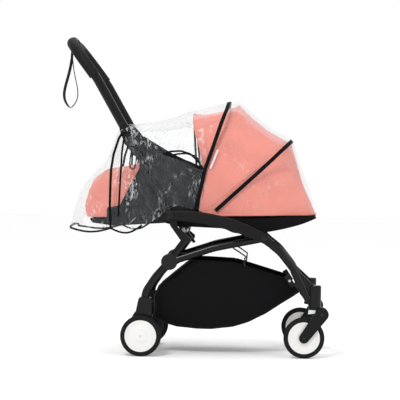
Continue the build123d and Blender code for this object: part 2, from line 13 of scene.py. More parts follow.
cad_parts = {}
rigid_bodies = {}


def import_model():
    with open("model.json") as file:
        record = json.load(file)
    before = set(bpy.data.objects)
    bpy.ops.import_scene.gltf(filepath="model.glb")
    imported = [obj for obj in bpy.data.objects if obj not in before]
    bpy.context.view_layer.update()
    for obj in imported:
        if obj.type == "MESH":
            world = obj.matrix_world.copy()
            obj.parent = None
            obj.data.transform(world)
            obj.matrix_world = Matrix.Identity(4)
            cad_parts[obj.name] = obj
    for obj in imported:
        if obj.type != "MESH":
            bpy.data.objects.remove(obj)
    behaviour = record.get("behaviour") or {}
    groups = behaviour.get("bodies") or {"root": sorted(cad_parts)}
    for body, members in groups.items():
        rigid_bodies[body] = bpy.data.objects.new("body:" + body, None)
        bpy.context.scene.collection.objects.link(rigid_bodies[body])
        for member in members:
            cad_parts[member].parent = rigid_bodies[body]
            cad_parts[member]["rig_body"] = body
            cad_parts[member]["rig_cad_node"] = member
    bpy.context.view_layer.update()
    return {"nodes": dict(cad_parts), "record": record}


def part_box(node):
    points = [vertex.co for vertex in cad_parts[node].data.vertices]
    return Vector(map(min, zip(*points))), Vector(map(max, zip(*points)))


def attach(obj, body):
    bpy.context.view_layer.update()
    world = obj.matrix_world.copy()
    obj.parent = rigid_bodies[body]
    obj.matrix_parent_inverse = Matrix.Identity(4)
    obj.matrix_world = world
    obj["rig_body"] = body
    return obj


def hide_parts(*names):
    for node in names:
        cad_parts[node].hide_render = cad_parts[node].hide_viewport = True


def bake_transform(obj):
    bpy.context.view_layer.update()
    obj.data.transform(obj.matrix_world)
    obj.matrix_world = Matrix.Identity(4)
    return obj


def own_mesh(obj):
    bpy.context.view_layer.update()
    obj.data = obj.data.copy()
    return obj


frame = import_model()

bl_info = {
    "name": "Folding Pushchair Looks",
    "version": (1, 0, 0),
    "blender": (4, 5, 0),
    "location": "View3D > Sidebar > Pushchair",
    "description": "Makes the fabrics, film, trim and finishes of a folding pushchair",
    "category": "Add Mesh",
}

MM = 0.001
QUILT = 0.055
WHEEL_WHITE = (0.63, 0.62, 0.605)
MOULDED_BLACK = (0.0025, 0.0025, 0.0028)
STRAP_Y = -0.060

# Side-view places, (x, z), shared by several pieces
CANOPY_PIVOT = (0.023, 0.463)
KNUCKLE = (-0.205, 0.708)
HANDLE_BEND = (-0.3197, 0.910)
HANDLE_PIVOT = (-0.0727, 0.4626)
LEG_PIVOT = (0.2346, 0.391)
ARM_PIVOT = (0.4268, 0.1452)
FRONT_WHEEL = (0.3692, 0.067)
ARMREST_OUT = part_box("armrest_left")[1][1]
HANDLE_PLANE = 0.185
CHEEK_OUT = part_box("suspension_arm_left")[1][1]


# ------------------------------------------------------------------ settings
class FabricSettings(bpy.types.PropertyGroup):
    """Sizes and colours of the sewn pieces."""
    coral: FloatVectorProperty(name="Coral", description="Colour of canopy and foot muff", subtype="COLOR",
                               size=3, default=(0.575, 0.195, 0.155))
    charcoal: FloatVectorProperty(name="Charcoal", description="Colour of the nest's side panels",
                                  subtype="COLOR", size=3, default=(0.004, 0.004, 0.005))
    black: FloatVectorProperty(name="Black", description="Colour of basket and binding", subtype="COLOR",
                               size=3, default=(0.003, 0.003, 0.0035))
    thread: FloatProperty(name="Thread", description="Distance between two threads", unit="LENGTH",
                          default=0.0009)
    cloth: FloatProperty(name="Cloth", description="Thickness of the cloth", unit="LENGTH", default=0.0016)
    sag: FloatProperty(name="Sag", description="How far cloth dips between two bows", unit="LENGTH",
                       default=0.011)


class CoverSettings(bpy.types.PropertyGroup):
    """Sizes of the clear rain cover."""
    film: FloatProperty(name="Film", description="Thickness of the film", unit="LENGTH", default=0.0008)
    wrinkle: FloatProperty(name="Wrinkle", description="Height of the film's wrinkles", unit="LENGTH",
                           default=0.0045)
    piping: FloatProperty(name="Piping", description="Radius of the piping", unit="LENGTH", default=0.0032)
    tape: FloatProperty(name="Tape", description="Width of the bow tapes", unit="LENGTH", default=0.0125)


class StageSettings(bpy.types.PropertyGroup):
    """Camera and light."""
    lens: FloatProperty(name="Lens", description="Focal length in millimetres", default=133.75)
    key_light: FloatProperty(name="Key light", description="Power of the large soft light", unit="POWER",
                             default=52.0)


# ------------------------------------------------------------------ modelling helpers
def deselect():
    if bpy.context.object and bpy.context.object.mode != "OBJECT":
        bpy.ops.object.mode_set(mode="OBJECT")
    bpy.ops.object.select_all(action="DESELECT")


def activate(obj):
    deselect()
    obj.select_set(True)
    bpy.context.view_layer.objects.active = obj


def apply_modifier(obj, kind, **settings):
    activate(obj)
    mod = obj.modifiers.new(kind.title(), kind)
    for key, value in settings.items():
        setattr(mod, key, value)
    bpy.ops.object.modifier_apply(modifier=mod.name)


def settle(obj):
    """Put the object's place, turn and size into its mesh."""
    activate(obj)
    bpy.ops.object.transform_apply(location=True, rotation=True, scale=True)


def outward(obj, merge=0.00002):
    """Merge doubles and turn every face outwards on a closed mesh."""
    activate(obj)
    bpy.ops.object.mode_set(mode="EDIT")
    bpy.ops.mesh.select_all(action="SELECT")
    bpy.ops.mesh.remove_doubles(threshold=merge)
    bpy.ops.mesh.normals_make_consistent(inside=False)
    bpy.ops.object.mode_set(mode="OBJECT")


def dress(obj, name, body, slot, finish=None, smooth=60):
    """Name a finished piece, give it its finish and let it ride on its body."""
    activate(obj)
    bpy.ops.object.shade_smooth_by_angle(angle=math.radians(smooth))
    obj.name = name
    obj.data.name = name
    obj.data.materials.clear()
    obj.data.materials.append(FINISHES[finish or slot])
    if body:
        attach(obj, body)
    return obj


def cloth_grid(across, along, place):
    """A grid whose points are put on a surface: place(u, w) with u and w from 0 to 1."""
    deselect()
    bpy.ops.mesh.primitive_grid_add(x_subdivisions=across, y_subdivisions=along, size=2)
    obj = bpy.context.object
    for vertex in obj.data.vertices:
        vertex.co = place((vertex.co.x + 1) / 2, (vertex.co.y + 1) / 2)
    return obj


def thicken(obj, thickness):
    apply_modifier(obj, "SOLIDIFY", thickness=thickness, offset=0.0)
    outward(obj)


def rope(points, radius, closed=False):
    """A round tube along points, as a mesh."""
    deselect()
    curve = bpy.data.curves.new("line", "CURVE")
    curve.dimensions = "3D"
    curve.bevel_depth = radius
    curve.bevel_resolution = 3
    curve.use_fill_caps = not closed
    spline = curve.splines.new("POLY")
    spline.points.add(len(points) - 1)
    for slot_point, point in zip(spline.points, points):
        slot_point.co = (*point, 1.0)
    spline.use_cyclic_u = closed
    obj = bpy.data.objects.new("line", curve)
    bpy.context.scene.collection.objects.link(obj)
    activate(obj)
    bpy.ops.object.convert(target="MESH")
    obj = bpy.context.object
    outward(obj)
    return obj


def ribbon(points, normals, width, thickness):
    """A flat tape along points, lying square to the normals."""
    rows = len(points)
    sides = []
    for i in range(rows):
        tangent = (points[min(i + 1, rows - 1)] - points[max(i - 1, 0)]).normalized()
        sides.append(tangent.cross(normals[i]).normalized() * width / 2)

    def place(u, w):
        i = round(w * (rows - 1))
        return points[i] + sides[i] * (2 * u - 1)
    obj = cloth_grid(4, rows - 1, place)
    thicken(obj, thickness)
    return obj


def join(parts):
    deselect()
    for part in parts:
        part.select_set(True)
    bpy.context.view_layer.objects.active = parts[0]
    bpy.ops.object.join()
    return bpy.context.object


def twin(obj):
    """A piece together with its copy mirrored in the middle plane."""
    activate(obj)
    bpy.ops.object.duplicate()
    copy = bpy.context.object
    copy.data.transform(Matrix.Scale(-1, 4, Vector((0, 1, 0))))
    outward(copy)
    return join([obj, copy])


def between(table, x):
    """Values of a table of rows (x, a, b, ...) at x, on a smooth line through the rows."""
    x = min(max(x, table[0][0]), table[-1][0])
    i = max(k for k in range(len(table) - 1) if table[k][0] <= x)
    x0, x1 = table[i][0], table[i + 1][0]
    t = (x - x0) / (x1 - x0)
    values = []
    for c in range(1, len(table[0])):
        def slope(k):
            low, high = max(k - 1, 0), min(k + 1, len(table) - 1)
            return (table[high][c] - table[low][c]) / (table[high][0] - table[low][0])
        a, b = table[i][c], table[i + 1][c]
        m0, m1 = slope(i) * (x1 - x0), slope(i + 1) * (x1 - x0)
        values.append((2 * t**3 - 3 * t**2 + 1) * a + (t**3 - 2 * t**2 + t) * m0
                      + (3 * t**2 - 2 * t**3) * b + (t**3 - t**2) * m1)
    return values


def polar(pivot, point):
    dx, dz = point[0] - pivot[0], point[1] - pivot[1]
    return math.atan2(dz, dx), math.hypot(dx, dz)


def arch(angle, squareness):
    """Unit superellipse: how far out sideways and how far out radially at an angle from the crown."""
    s, c = math.sin(angle), math.cos(angle)
    r = (abs(s) ** squareness + abs(c) ** squareness) ** (-1 / squareness)
    return r * s, r * c


def fan_point(pivot, foot, direction, reach, half, w, squareness):
    """A point of a fan-shaped hood: w from -1 to 1 runs over the arch from side to side."""
    side, out = arch(w * math.pi / 2, squareness)
    radius = foot + (reach - foot) * max(out, 0.0)
    return Vector((pivot[0] + radius * math.cos(direction), half * side,
                   pivot[1] + radius * math.sin(direction)))


# ------------------------------------------------------------------ materials
def new_material(name):
    material = bpy.data.materials.new(name)
    material.use_nodes = True
    nodes = material.node_tree.nodes
    return material, nodes, material.node_tree.links, nodes["Principled BSDF"]


def tint(nodes, links, shader, colour, spread, scale):
    """Base colour with a slow variation in lightness."""
    coords = nodes.new("ShaderNodeTexCoord")
    cloud = nodes.new("ShaderNodeTexNoise")
    cloud.inputs["Scale"].default_value = scale
    cloud.inputs["Detail"].default_value = 4
    ramp = nodes.new("ShaderNodeValToRGB")
    low, high = ramp.color_ramp.elements
    low.position, high.position = 0.3, 0.7
    low.color = (*[c * (1 - spread) for c in colour], 1)
    high.color = (*[min(c * (1 + spread), 1) for c in colour], 1)
    links.new(coords.outputs["Object"], cloud.inputs["Vector"])
    links.new(cloud.outputs["Fac"], ramp.inputs["Fac"])
    links.new(ramp.outputs["Color"], shader.inputs["Base Color"])
    return coords, cloud


def bump(nodes, links, shader, height, strength, distance):
    node = nodes.new("ShaderNodeBump")
    node.inputs["Strength"].default_value = strength
    node.inputs["Distance"].default_value = distance
    links.new(height, node.inputs["Height"])
    links.new(node.outputs["Normal"], shader.inputs["Normal"])


def spread_roughness(nodes, links, shader, fac, low, high):
    span = nodes.new("ShaderNodeMapRange")
    span.inputs["To Min"].default_value = low
    span.inputs["To Max"].default_value = high
    links.new(fac, span.inputs["Value"])
    links.new(span.outputs["Result"], shader.inputs["Roughness"])


def hard_finish(name, colour, roughness, grain, depth, metallic=0.0, coat=0.0, spread=0.12,
                shine=0.28):
    """Paint, plastic, rubber or metal: a fine grain, uneven gloss and slow tint."""
    material, nodes, links, shader = new_material(name)
    coords, cloud = tint(nodes, links, shader, colour, spread, 9)
    fine = nodes.new("ShaderNodeTexNoise")
    fine.inputs["Scale"].default_value = grain
    fine.inputs["Detail"].default_value = 3
    links.new(coords.outputs["Object"], fine.inputs["Vector"])
    spread_roughness(nodes, links, shader, cloud.outputs["Fac"], roughness - 0.07, roughness + 0.09)
    bump(nodes, links, shader, fine.outputs["Fac"], 0.25, depth)
    shader.inputs["Metallic"].default_value = metallic
    shader.inputs["Specular IOR Level"].default_value = 0.5 if metallic else shine
    shader.inputs["Coat Weight"].default_value = coat
    shader.inputs["Coat Roughness"].default_value = 0.18
    return material


def woven(name, colour, thread, roughness=0.82, sheen=0.35, spread=0.07, crumple=0.0012,
          shine=0.22):
    """Plain weave: two crossed thread waves on the surface, soft sheen and slow unevenness."""
    material, nodes, links, shader = new_material(name)
    coords, cloud = tint(nodes, links, shader, colour, spread, 14)
    waves = []
    for direction in ("X", "Z"):
        wave = nodes.new("ShaderNodeTexWave")
        wave.bands_direction = direction
        wave.inputs["Scale"].default_value = 0.314 / thread
        wave.inputs["Distortion"].default_value = 0.6
        wave.inputs["Detail"].default_value = 1
        links.new(coords.outputs["Object"], wave.inputs["Vector"])
        waves.append(wave)
    weave = nodes.new("ShaderNodeMath")
    weave.operation = "MAXIMUM"
    links.new(waves[0].outputs["Fac"], weave.inputs[0])
    links.new(waves[1].outputs["Fac"], weave.inputs[1])
    folds = nodes.new("ShaderNodeTexNoise")
    folds.inputs["Scale"].default_value = 26
    folds.inputs["Detail"].default_value = 5
    links.new(coords.outputs["Object"], folds.inputs["Vector"])
    mix = nodes.new("ShaderNodeMath")
    mix.operation = "MULTIPLY_ADD"
    mix.inputs[1].default_value = 0.05
    links.new(weave.outputs["Value"], mix.inputs[0])
    links.new(folds.outputs["Fac"], mix.inputs[2])
    bump(nodes, links, shader, mix.outputs["Value"], 0.55, crumple)
    spread_roughness(nodes, links, shader, cloud.outputs["Fac"], roughness - 0.06, roughness + 0.06)
    shader.inputs["Specular IOR Level"].default_value = shine
    shader.inputs["Sheen Weight"].default_value = sheen
    shader.inputs["Sheen Roughness"].default_value = 0.5
    return material


def film_noise(nodes, scale, detail, distortion):
    noise_node = nodes.new("ShaderNodeTexNoise")
    noise_node.inputs["Scale"].default_value = scale
    noise_node.inputs["Detail"].default_value = detail
    noise_node.inputs["Distortion"].default_value = distortion
    return noise_node


def rise(nodes, links, value, start, end, low, high):
    """Map a value from start..end to low..high, clamped."""
    span = nodes.new("ShaderNodeMapRange")
    for key, number in (("From Min", start), ("From Max", end), ("To Min", low), ("To Max", high)):
        span.inputs[key].default_value = number
    links.new(value, span.inputs["Value"])
    return span.outputs["Result"]


def clear_film(name):
    """Clear soft film: faint grey tint with painted highlights along the creases, a painted reflection
    towards grazing angles, and a glossy face.
    """
    material, nodes, links, shader = new_material(name)
    # grey of the film, which also colours the painted highlights and the painted reflection
    shader.inputs["Base Color"].default_value = (0.60, 0.62, 0.64, 1)
    shader.inputs["Specular IOR Level"].default_value = 0.8
    shader.inputs["Coat Weight"].default_value = 0.5
    shader.inputs["Coat Roughness"].default_value = 0.06
    coords = nodes.new("ShaderNodeTexCoord")
    stretch = nodes.new("ShaderNodeMapping")
    stretch.inputs["Scale"].default_value = (1.0, 1.0, 0.38)
    stretch.inputs["Rotation"].default_value = (0, math.radians(35), 0)
    creases = film_noise(nodes, 62, 5, 2.2)
    highlight_patches = film_noise(nodes, 13, 2, 0.5)
    links.new(coords.outputs["Object"], stretch.inputs["Vector"])
    links.new(stretch.outputs["Vector"], creases.inputs["Vector"])
    links.new(coords.outputs["Object"], highlight_patches.inputs["Vector"])
    # painted highlight: the pale grey film is made more opaque along the creases, so they read as lit streaks
    crease_highlight = rise(nodes, links, creases.outputs["Fac"], 0.53, 0.66, 0.0, 0.40)
    # patches where the painted highlights show
    where = rise(nodes, links, highlight_patches.outputs["Fac"], 0.46, 0.62, 0.05, 1.0)
    # opacity: the faint veil of the film, 0.016, plus the painted crease highlights
    veil_and_highlights = nodes.new("ShaderNodeMath")
    veil_and_highlights.operation = "MULTIPLY_ADD"
    veil_and_highlights.inputs[2].default_value = 0.016
    # fewer painted highlights towards the front, over the canopy
    axes = nodes.new("ShaderNodeSeparateXYZ")
    links.new(coords.outputs["Object"], axes.inputs["Vector"])
    highlight_share = nodes.new("ShaderNodeMath")
    highlight_share.operation = "MULTIPLY"
    links.new(where, highlight_share.inputs[0])
    links.new(rise(nodes, links, axes.outputs["X"], -0.02, 0.07, 1.0, 0.25), highlight_share.inputs[1])
    links.new(crease_highlight, veil_and_highlights.inputs[0])
    links.new(highlight_share.outputs["Value"], veil_and_highlights.inputs[1])
    # painted reflection: more of the film's pale grey shows towards grazing angles, in place of the studio's
    # reflection
    edge = nodes.new("ShaderNodeLayerWeight")
    edge.inputs["Blend"].default_value = 0.22
    rim = nodes.new("ShaderNodeMath")
    rim.operation = "MULTIPLY"
    rim.inputs[1].default_value = 0.20
    links.new(edge.outputs["Fresnel"], rim.inputs[0])
    total = nodes.new("ShaderNodeMath")
    total.operation = "MAXIMUM"
    links.new(veil_and_highlights.outputs["Value"], total.inputs[0])
    links.new(rim.outputs["Value"], total.inputs[1])
    links.new(total.outputs["Value"], shader.inputs["Alpha"])
    spread_roughness(nodes, links, shader, creases.outputs["Fac"], 0.10, 0.22)
    bump(nodes, links, shader, creases.outputs["Fac"], 0.5, 0.002)
    return material


def paint_inner_shade(material, depth):
    """Paint shade onto the side of a wheel that faces the middle plane, up to a distance from that plane."""
    nodes, links = material.node_tree.nodes, material.node_tree.links
    shader = nodes["Principled BSDF"]
    pale = shader.inputs["Base Color"].links[0].from_socket
    coords = nodes.new("ShaderNodeTexCoord")
    axes = nodes.new("ShaderNodeSeparateXYZ")
    links.new(coords.outputs["Object"], axes.inputs["Vector"])
    far = nodes.new("ShaderNodeMath")
    far.operation = "ABSOLUTE"
    links.new(axes.outputs["Y"], far.inputs[0])
    outer = nodes.new("ShaderNodeMath")
    outer.operation = "GREATER_THAN"
    outer.inputs[1].default_value = depth
    links.new(far.outputs["Value"], outer.inputs[0])
    mix = nodes.new("ShaderNodeMix")
    mix.data_type = "RGBA"
    # painted shade: near-black colour on the wheel's inner side, so the far wheel's visible face reads as in
    # shadow
    mix.inputs["A"].default_value = (0.010, 0.010, 0.011, 1)
    links.new(outer.outputs["Value"], mix.inputs["Factor"])
    links.new(pale, mix.inputs["B"])
    links.new(mix.outputs["Result"], shader.inputs["Base Color"])
    return material


def make_materials():
    cloth = bpy.context.scene.pushchair_fabric
    return {
        "frame_satin": hard_finish("frame_satin", (0.0022, 0.0022, 0.0025), 0.21, 900, 0.0002, shine=0.20),
        "black_plastic": hard_finish("black_plastic", MOULDED_BLACK, 0.40, 520, 0.0004, shine=0.16),
        "cap_plastic": hard_finish("cap_plastic", MOULDED_BLACK, 0.26, 700, 0.0002, shine=0.26),
        "steel": hard_finish("steel", (0.55, 0.55, 0.57), 0.30, 600, 0.0001, metallic=1.0),
        "tyre": hard_finish("tyre", (0.0055, 0.0055, 0.006), 0.74, 380, 0.0006, shine=0.15),
        "wheel_white": hard_finish("wheel_white", WHEEL_WHITE, 0.50, 420, 0.0003, spread=0.03),
        "tab_grey": hard_finish("tab_grey", (0.52, 0.53, 0.54), 0.5, 420, 0.0003, spread=0.05),
        "grip_foam": hard_finish("grip_foam", (0.0035, 0.0035, 0.004), 0.60, 260, 0.0010, shine=0.15),
        "strap_webbing": woven("strap_webbing", (0.010, 0.010, 0.011), 0.0014, sheen=0.05),
        "coral_fabric": woven("coral_fabric", cloth.coral, cloth.thread, sheen=0.2, crumple=0.0009),
        "black_fabric": woven("black_fabric", cloth.black, cloth.thread, sheen=0.015, shine=0.08),
        "panel_fabric": woven("panel_fabric", cloth.charcoal, cloth.thread, roughness=0.55, sheen=0.02,
                              crumple=0.0022, shine=0.16),
        "mattress_fabric": woven("mattress_fabric", (0.66, 0.63, 0.60), 0.0012),
        "board": hard_finish("board", (0.07, 0.07, 0.07), 0.55, 500, 0.0004),
        "clear_pvc": clear_film("clear_pvc"),
    }


FINISHES = {}


class PUSHCHAIR_OT_finishes(bpy.types.Operator):
    """Make the materials and give each rigid piece its finish"""
    bl_idname = "pushchair.finishes"
    bl_label = "Finishes"

    def execute(self, context):
        FINISHES.update(make_materials())
        slots = {part["node"]: part["material_slot"] for part in frame["record"]["subparts"]}
        for name, obj in frame["nodes"].items():
            if not obj.data.materials:
                obj.data.materials.append(None)
            for slot in obj.material_slots:
                slot.material = FINISHES[slots[name]]
        for slot in frame["nodes"]["pivot_pins"].material_slots:
            slot.material = FINISHES["cap_plastic"]
        # rear wheels: pale discs with painted shade on the side that faces the middle plane
        wheel = hard_finish("rear_wheel_painted_shade", WHEEL_WHITE, 0.50, 420, 0.0003, spread=0.03)
        low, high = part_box("rear_wheel_disc_left")
        paint_inner_shade(wheel, low[1] + 0.4 * (high[1] - low[1]))
        for side in ("left", "right"):
            for slot in frame["nodes"]["rear_wheel_disc_" + side].material_slots:
                slot.material = wheel
        return {"FINISHED"}


# ------------------------------------------------------------------ canopy
CANOPY_HALF = 0.1658
CANOPY_FOOT = 0.014
CANOPY_SQUARE = 3.1
# crown of the hood in the side view, at its front edge, its two seams and its hem,
# and how far along the fan each of them lies
CANOPY_CROWN = [(-0.004, 0.802), (0.147, 0.833), (0.325, 0.705), (0.409, 0.470)]
CANOPY_SHARE = [0.0, 0.36, 0.72, 1.0]
# how far each of those lines turns about the pivot where it runs down the side
CANOPY_TURN = [math.radians(-8.5), math.radians(9), math.radians(2), 0.0]


def canopy_point(u, w):
    cloth = bpy.context.scene.pushchair_fabric
    i = max(k for k in range(3) if CANOPY_SHARE[k] <= u + 1e-9)
    v = (u - CANOPY_SHARE[i]) / (CANOPY_SHARE[i + 1] - CANOPY_SHARE[i])
    a, b = CANOPY_CROWN[i], CANOPY_CROWN[i + 1]
    crown = (a[0] + (b[0] - a[0]) * v, a[1] + (b[1] - a[1]) * v)
    direction, reach = polar(CANOPY_PIVOT, crown)
    dip = cloth.sag * math.sin(math.pi * v) * (0.6 if i == 2 else 1.0)
    over = 2 * w - 1
    down = min(max((abs(over) - 0.42) / 0.40, 0.0), 1.0)
    direction += (CANOPY_TURN[i] * (1 - v) + CANOPY_TURN[i + 1] * v) * down * down * (3 - 2 * down)
    point = fan_point(CANOPY_PIVOT, CANOPY_FOOT, direction, reach - dip, CANOPY_HALF, over, CANOPY_SQUARE)
    tuck = 0.006 * math.sin(math.pi * v) * math.sin(math.pi * min(abs(over) * 1.3, 1.0)) ** 2
    point.y -= math.copysign(tuck, point.y)
    crease = noise.noise(Vector((direction * 7, over * 3, 1.7))) * 0.0022 * (1 - abs(over) ** 4)
    return point + Vector((math.cos(direction), 0, math.sin(direction))) * crease


class PUSHCHAIR_OT_canopy(bpy.types.Operator):
    """Canopy: one curved sheet over three bows, with bound front edge, seams and a hem"""
    bl_idname = "pushchair.canopy"
    bl_label = "Canopy"

    def execute(self, context):
        cloth = context.scene.pushchair_fabric
        canopy = cloth_grid(100, 96, canopy_point)
        thicken(canopy, cloth.cloth)
        dress(canopy, "canopy", None, "coral_fabric")
        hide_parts("canopy_fabric")
        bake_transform(canopy)
        trims = []
        for share, radius in ((0.0, 0.0034), (0.36, 0.0018), (0.72, 0.0018)):
            line = [canopy_point(share, w / 60) for w in range(61)]
            trims.append(rope([p + (p - Vector((0.12, 0, 0.55))).normalized() * 0.001 for p in line], radius))
        hem = [canopy_point(1.0, w / 60) for w in range(61)]
        trims.append(rope(hem, 0.0034))
        seams = dress(join(trims), "canopy_piping", None, "coral_fabric")
        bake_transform(seams)
        return {"FINISHED"}


# ------------------------------------------------------------------ nest
MUFF_PIVOT = (-0.178, 0.447)
MUFF_CROWN = [(-0.3615, 0.450), (-0.3625, 0.492), (-0.356, 0.542), (-0.333, 0.582), (-0.294, 0.608),
              (-0.251, 0.622), (-0.178, 0.629)]
PANEL_PLANE = 0.1612
PANEL_OUT = 0.0064
PANEL_TOP = [(-0.190, 0.728), (-0.0945, 0.671), (0.036, 0.609)]
PANEL_LOW = [(-0.285, 0.430), (-0.092, 0.438), (0.008, 0.476)]
PANEL_BACK = [(-0.285, 0.430), (-0.284, 0.486), (-0.243, 0.492), (-0.178, 0.618), (-0.190, 0.728)]
PANEL_FRONT = [(0.008, 0.476), (0.020, 0.520), (0.030, 0.560), (0.036, 0.609)]
APRON_LOW = [(0.113, 0.419), (0.139, 0.409), (0.211, 0.409), (0.280, 0.420), (0.350, 0.438), (0.405, 0.459)]
APRON_HIGH = [(0.113, 0.459), (0.188, 0.4545), (0.320, 0.462), (0.405, 0.468)]
APRON_HALF = 0.1615
APRON_CORNER = 0.045


def on_line(points, t):
    """The point a share t along a polyline, with its corners kept."""
    lengths = [math.dist(a, b) for a, b in zip(points, points[1:])]
    left = t * sum(lengths)
    for (a, b), length in zip(zip(points, points[1:]), lengths):
        if left <= length + 1e-12:
            return tuple(p + (q - p) * left / length for p, q in zip(a, b))
        left -= length
    return points[-1]


def muff_point(u, w):
    crown = on_line(MUFF_CROWN, u)
    direction, reach = polar(MUFF_PIVOT, crown)
    over = 2 * w - 1
    point = fan_point(MUFF_PIVOT, 0.016, direction, reach - 0.006, 0.1478, over, 5.2)
    quilt = 0.0028 * math.sin(direction * 9) * (1 - abs(over) ** 3)
    quilt += 0.0040 * noise.noise(Vector((direction * 5, over * 3.2, 4.1))) * (1 - u)
    return point + Vector((math.cos(direction), 0, math.sin(direction))) * quilt


def puff(obj, voxel, pressure, cap):
    """Blow a closed pad up a little as cloth, hold each point near its start and keep the shape."""
    apply_modifier(obj, "REMESH", mode="VOXEL", voxel_size=voxel)
    start = [v.co.copy() for v in obj.data.vertices]
    activate(obj)
    mod = obj.modifiers.new("Cloth", "CLOTH")
    mod.settings.use_pressure = True
    mod.settings.uniform_pressure_force = pressure
    mod.settings.effector_weights.gravity = 0
    mod.settings.quality = 4
    mod.point_cache.frame_start = 1
    mod.point_cache.frame_end = 16
    for step in range(1, 17):
        bpy.context.scene.frame_set(step)
    bpy.ops.object.modifier_apply(modifier=mod.name)
    bpy.context.scene.frame_set(1)
    for vertex, rest in zip(obj.data.vertices, start):
        move = vertex.co - rest
        if move.length > cap:
            vertex.co = rest + move.normalized() * cap


class PUSHCHAIR_OT_nest(bpy.types.Operator):
    """Nest: foot muff, side panels, tub and mattress"""
    bl_idname = "pushchair.nest"
    bl_label = "Nest"

    def execute(self, context):
        self.muff()
        self.panels(context.scene.pushchair_fabric)
        self.tub()
        self.apron(context.scene.pushchair_fabric)
        self.mattress()
        return {"FINISHED"}

    def muff(self):
        muff = cloth_grid(56, 84, muff_point)
        thicken(muff, 0.010)
        puff(muff, 0.005, 3.0, 0.004)
        apply_modifier(muff, "SMOOTH", factor=0.5, iterations=3)
        dress(muff, "foot_muff_cover", "seat_frame", "coral_fabric")
        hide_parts("foot_muff")
        hem = [muff_point(1.0, w / 50) + Vector((0.002, 0, 0)) for w in range(51)]
        binding = rope(hem, 0.0048)
        dress(binding, "foot_muff_binding", "seat_frame", "coral_fabric")

    def panels(self, cloth):
        def place(u, w):
            top, low = on_line(PANEL_TOP, u), on_line(PANEL_LOW, u)
            back, front = on_line(PANEL_BACK, w), on_line(PANEL_FRONT, w)
            corners = ((1 - u) * (1 - w), u * (1 - w), (1 - u) * w, u * w)
            ends = (PANEL_LOW[0], PANEL_LOW[-1], PANEL_TOP[0], PANEL_TOP[-1])
            x, z = (low[k] * (1 - w) + top[k] * w + back[k] * (1 - u) + front[k] * u
                    - sum(c * e[k] for c, e in zip(corners, ends)) for k in (0, 1))
            angle, far = polar(KNUCKLE, (x, z))
            fold = 0.0042 * math.sin(angle * 24 + 0.6) * math.exp(-far / 0.16) * min(far / 0.05, 1.0)
            rumple = 0.0034 * noise.noise(Vector((x * 16, 3.0, z * 22)))
            beside = min(max((x + 0.028) / 0.022, 0.0), 1.0)
            return Vector((x, PANEL_PLANE + PANEL_OUT * beside + (fold + rumple) * (1 - 0.85 * beside), z))
        panel = cloth_grid(70, 60, place)
        rim = [place(u / 40, 1.0) for u in range(41)]
        thicken(panel, cloth.cloth)
        both = twin(panel)
        dress(both, "side_panels", "seat_frame", "panel_fabric")
        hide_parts("side_panel_left", "side_panel_right")
        binding = twin(rope(rim, 0.0042))
        dress(binding, "side_panel_binding", "seat_frame", "black_fabric")

    def soften_node(self, node, width, levels):
        activate(frame["nodes"][node])
        bpy.ops.object.duplicate()
        copy = bpy.context.object
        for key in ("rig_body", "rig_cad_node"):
            if key in copy:
                del copy[key]
        copy.parent = None
        outward(copy)
        apply_modifier(copy, "BEVEL", width=width, segments=3, limit_method="ANGLE",
                       angle_limit=math.radians(25))
        apply_modifier(copy, "SUBSURF", subdivision_type="SIMPLE", levels=levels, render_levels=levels)
        return copy

    def tub(self):
        tub = self.soften_node("nest_tub", 0.0012, 2)
        for vertex in tub.data.vertices:
            tucked = min(max((-0.165 - vertex.co.x) / 0.03, 0.0), 1.0) if vertex.co.z > 0.450 else 0.0
            ended = min(max((-0.285 - vertex.co.x) / 0.050, 0.0), 1.0) if vertex.co.z > 0.450 else 0.0
            vertex.co.y *= 1 - 0.045 * tucked - 0.12 * ended
            vertex.co.x += 0.012 * ended
        dress(tub, "nest_tub_fabric", "seat_frame", "black_fabric")
        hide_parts("nest_tub")

    def apron(self, cloth):
        """Low cloth band round the head end, from the tub up to the canopy's hem."""
        run = APRON_LOW[-1][0] - APRON_CORNER - APRON_LOW[0][0]
        turn = APRON_CORNER * math.pi / 2
        across = 2 * (APRON_HALF - APRON_CORNER)
        total = 2 * run + 2 * turn + across

        def plan(u):
            far = min(u, 1 - u) * total
            if far <= run:
                x, y = APRON_LOW[0][0] + far, APRON_HALF
            elif far <= run + turn:
                a = (far - run) / APRON_CORNER
                x = APRON_LOW[0][0] + run + APRON_CORNER * math.sin(a)
                y = APRON_HALF - APRON_CORNER * (1 - math.cos(a))
            else:
                x, y = APRON_LOW[-1][0], APRON_HALF - APRON_CORNER - (far - run - turn)
            return x, y if u < 0.5 else -y

        def place(u, w):
            x, y = plan(u)
            low, high = between(APRON_LOW, x)[0], between(APRON_HIGH, x)[0]
            return Vector((x, y, low + (high - low) * w))
        band = cloth_grid(160, 6, place)
        edge = [place(u / 160, 0.0) for u in range(161)]
        thicken(band, cloth.cloth)
        dress(band, "nest_apron", "seat_frame", "black_fabric")
        binding = rope(edge, 0.0030)
        dress(binding, "nest_apron_binding", "seat_frame", "black_fabric")

    def mattress(self):
        low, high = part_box("mattress")
        deselect()
        bpy.ops.mesh.primitive_cube_add(size=1, location=((low[0] + high[0]) / 2 - 0.03, 0,
                                                          (low[2] + high[2]) / 2))
        pad = bpy.context.object
        pad.scale = (high[0] - low[0] - 0.075, high[1] - low[1] - 0.012, high[2] - low[2] - 0.006)
        settle(pad)
        apply_modifier(pad, "BEVEL", width=0.009, segments=4)
        puff(pad, 0.006, 3.0, 0.003)
        apply_modifier(pad, "SMOOTH", factor=0.5, iterations=2)
        for vertex in pad.data.vertices:
            if vertex.co.z > high[2] - 0.006:
                quilt = (abs(math.sin(vertex.co.x * math.pi / QUILT))
                         * abs(math.sin(vertex.co.y * math.pi / QUILT)))
                vertex.co.z -= 0.003 * (1 - quilt) ** 4
        dress(pad, "mattress_pad", "seat_frame", "mattress_fabric")
        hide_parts("mattress")


